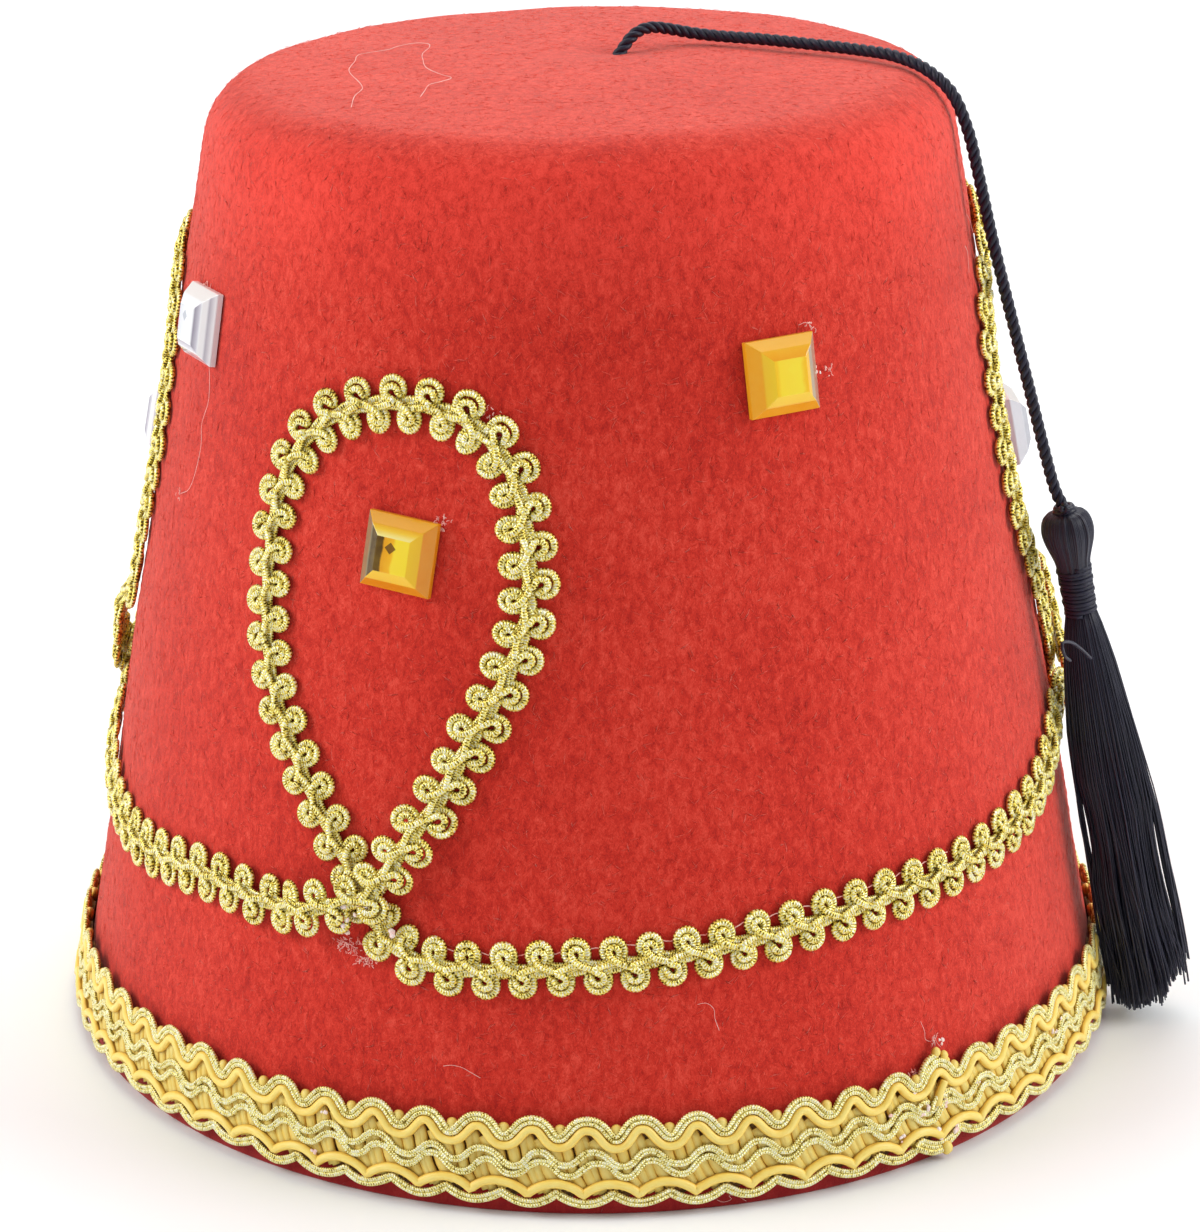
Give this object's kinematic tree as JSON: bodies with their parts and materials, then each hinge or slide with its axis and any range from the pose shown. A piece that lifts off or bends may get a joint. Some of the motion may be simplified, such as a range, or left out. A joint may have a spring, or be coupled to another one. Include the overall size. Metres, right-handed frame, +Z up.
{
  "type": "fez hat",
  "caption": "Tall tapered red felt fez with a wavy gold hem trim, a looped gold scroll trim, square stones and a black cord with a tassel.",
  "frame": {"origin": "centre of the crown's round rim, in the plane that the hat stands on", "axes": "+Z up along the crown's axis, -Y towards the front with the single loop and the two amber stones, +X to the wearer's left, where the tassel hangs"},
  "size_m": [0.1991, 0.1873, 0.1717],
  "materials": {
    "red_felt": "matte wool-look felt with a short nap",
    "gold_hem_thread": "gold satin and metallic thread",
    "gold_scroll_thread": "metallic wrapped gimp",
    "amber_stone": "clear amber acrylic with a foiled back",
    "clear_stone": "clear acrylic with a silver foiled back",
    "black_cord": "twisted rayon cord",
    "black_thread": "rayon thread with a faint blue sheen"
  },
  "bodies": {
    "root": {"felt_crown": "red_felt", "hem_braid": "gold_hem_thread", "scroll_braid": "gold_scroll_thread", "stone_front_loop": "amber_stone", "stone_front_right": "amber_stone", "stone_back_loop": "amber_stone", "stone_back_left": "amber_stone", "stone_right_loop": "clear_stone", "stone_back_right": "clear_stone", "stone_left_loop": "clear_stone", "stone_front_left": "clear_stone", "tassel_cord": "black_cord", "cord_knot": "black_cord", "tassel": "black_thread", "tassel_binding": "black_thread"}
  },
  "joints": []
}
